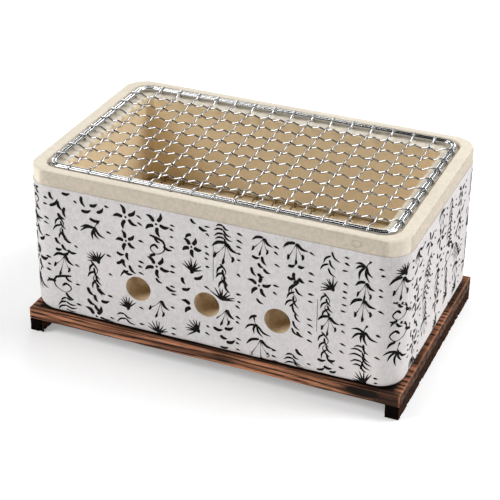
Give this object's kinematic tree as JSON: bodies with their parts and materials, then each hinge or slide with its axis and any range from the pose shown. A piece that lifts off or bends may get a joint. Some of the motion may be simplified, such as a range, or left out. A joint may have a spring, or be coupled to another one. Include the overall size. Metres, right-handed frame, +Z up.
{
  "type": "hibachi grill",
  "caption": "Tabletop charcoal grill: an open diatomite fire box in a paper wrap on a burnt-wood base, with a woven cooking net and a woven charcoal grate that both lift out.",
  "frame": {"origin": "on the table, under the middle of the grill", "axes": "+X along the length, with the vented long side facing -Y; +Z up"},
  "size_m": [0.255, 0.1564, 0.122],
  "materials": {
    "burnt_wood": "scorched cedar, brushed so that the grain stands proud, oiled satin",
    "charred_wood": "cedar charred nearly black, matt",
    "nail_steel": "plain wire nails",
    "diatomite": "cut and baked diatomite, chalky matt with fine pits",
    "washi_paper": null,
    "net_steel": "bright galvanised wire",
    "grate_steel": "galvanised wire"
  },
  "bodies": {
    "base": {"base_board": "burnt_wood", "left_batten": "charred_wood", "right_batten": "charred_wood", "batten_nails": "nail_steel"},
    "fire_box": {"fire_box_tub": "diatomite", "washi_wrap": "washi_paper"},
    "charcoal_grate": {"grate_rod": "grate_steel", "grate_cross_wire_1": "grate_steel", "grate_cross_wire_2": "grate_steel", "grate_cross_wire_3": "grate_steel", "grate_cross_wire_4": "grate_steel", "grate_cross_wire_5": "grate_steel", "grate_cross_wire_6": "grate_steel", "grate_cross_wire_7": "grate_steel", "grate_cross_wire_8": "grate_steel", "grate_cross_wire_9": "grate_steel", "grate_cross_wire_10": "grate_steel", "grate_cross_wire_11": "grate_steel", "grate_cross_wire_12": "grate_steel", "grate_cross_wire_13": "grate_steel", "grate_cross_wire_14": "grate_steel", "grate_long_wire_1": "grate_steel", "grate_long_wire_2": "grate_steel", "grate_long_wire_3": "grate_steel", "grate_long_wire_4": "grate_steel", "grate_long_wire_5": "grate_steel", "grate_long_wire_6": "grate_steel", "grate_long_wire_7": "grate_steel"},
    "cooking_net": {"net_outer_rod": "net_steel", "net_inner_rod": "net_steel", "net_cross_wire_1": "net_steel", "net_cross_wire_2": "net_steel", "net_cross_wire_3": "net_steel", "net_cross_wire_4": "net_steel", "net_cross_wire_5": "net_steel", "net_cross_wire_6": "net_steel", "net_cross_wire_7": "net_steel", "net_cross_wire_8": "net_steel", "net_cross_wire_9": "net_steel", "net_cross_wire_10": "net_steel", "net_cross_wire_11": "net_steel", "net_cross_wire_12": "net_steel", "net_cross_wire_13": "net_steel", "net_cross_wire_14": "net_steel", "net_cross_wire_15": "net_steel", "net_long_wire_1": "net_steel", "net_long_wire_2": "net_steel", "net_long_wire_3": "net_steel", "net_long_wire_4": "net_steel", "net_long_wire_5": "net_steel", "net_long_wire_6": "net_steel", "net_long_wire_7": "net_steel", "net_long_wire_8": "net_steel"}
  },
  "joints": [
    {"name": "lift_fire_box", "type": "slide", "parent": "base", "child": "fire_box", "axis": [0, 0, 1], "range_m": [0, 0.04]},
    {"name": "lift_charcoal_grate", "type": "slide", "parent": "fire_box", "child": "charcoal_grate", "axis": [0, 0, 1], "range_m": [0, 0.055]},
    {"name": "lift_cooking_net", "type": "slide", "parent": "fire_box", "child": "cooking_net", "axis": [0, 0, 1], "range_m": [0, 0.07]}
  ]
}
